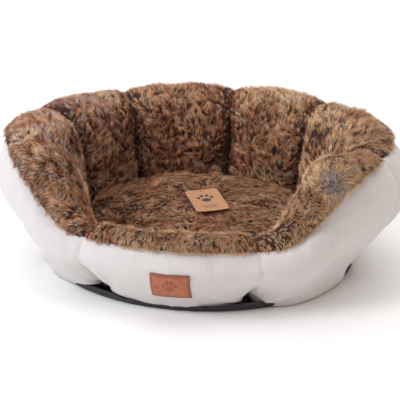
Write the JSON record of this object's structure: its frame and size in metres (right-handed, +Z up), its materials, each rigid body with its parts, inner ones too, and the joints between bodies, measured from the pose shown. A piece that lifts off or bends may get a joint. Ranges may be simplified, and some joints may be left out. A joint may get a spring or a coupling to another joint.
{
  "type": "pet cushion bed",
  "caption": "Oval pet bed with a puffed chambered wall, low entrance, fur lining, loose fur-topped cushion, dark base panel, leather patch and swing tag.",
  "frame": {"origin": "on the ground, at the nest's middle across, which is 1.6 mm from the middle of the outer box, and at the middle of the outer box along Y", "axes": "+Z up, the low entrance side faces -Y, +X to the right seen from the entrance"},
  "size_m": [0.6124, 0.4822, 0.2052],
  "materials": {
    "linen": "off-white linen-look plain weave",
    "faux_fur": "long-pile brown faux fur with darker tips and grey roots",
    "polyester_fill": "loose white polyester fibre",
    "nonwoven": "thin white non-woven cloth",
    "base_cloth": "black coated oxford cloth",
    "wadding": "white quilted wadding",
    "floor_cloth": "dark plain lining cloth",
    "cushion_cloth": "dark grey-green plain cloth",
    "cushion_piping": "dark grey-green covered piping",
    "patch_leather": "terracotta tan leather, embossed",
    "kraft_card": "brown kraft card, dark print"
  },
  "bodies": {
    "bed": {"wall_filling_1": "polyester_fill", "fur_lining_1": "faux_fur", "linen_cover_1": "linen", "chamber_baffle_1": "nonwoven", "wall_filling_2": "polyester_fill", "fur_lining_2": "faux_fur", "linen_cover_2": "linen", "chamber_baffle_2": "nonwoven", "wall_filling_3": "polyester_fill", "fur_lining_3": "faux_fur", "linen_cover_3": "linen", "chamber_baffle_3": "nonwoven", "wall_filling_4": "polyester_fill", "fur_lining_4": "faux_fur", "linen_cover_4": "linen", "chamber_baffle_4": "nonwoven", "wall_filling_5": "polyester_fill", "fur_lining_5": "faux_fur", "linen_cover_5": "linen", "chamber_baffle_5": "nonwoven", "wall_filling_6": "polyester_fill", "fur_lining_6": "faux_fur", "linen_cover_6": "linen", "chamber_baffle_6": "nonwoven", "wall_filling_7": "polyester_fill", "fur_lining_7": "faux_fur", "linen_cover_7": "linen", "chamber_baffle_7": "nonwoven", "wall_filling_8": "polyester_fill", "fur_lining_8": "faux_fur", "linen_cover_8": "linen", "chamber_baffle_8": "nonwoven", "base_panel": "base_cloth", "floor_pad": "wadding", "floor_lining": "floor_cloth", "leather_patch": "patch_leather"},
    "cushion": {"cushion_filling": "polyester_fill", "cushion_fur": "faux_fur", "cushion_base_cloth": "cushion_cloth", "cushion_piping": "cushion_piping"},
    "tag": {"swing_tag": "kraft_card"}
  },
  "joints": [
    {"name": "cushion_lift", "type": "slide", "parent": "bed", "child": "cushion", "axis": [0, 0, 1], "range_m": [0, 0.21]},
    {"name": "tag_flip", "type": "hinge", "parent": "cushion", "child": "tag", "pos_m": [-0.0037, 0.00616, 0.0957], "axis": [-0.8988, -0.4384, 0], "range_deg": [0, 165]}
  ]
}
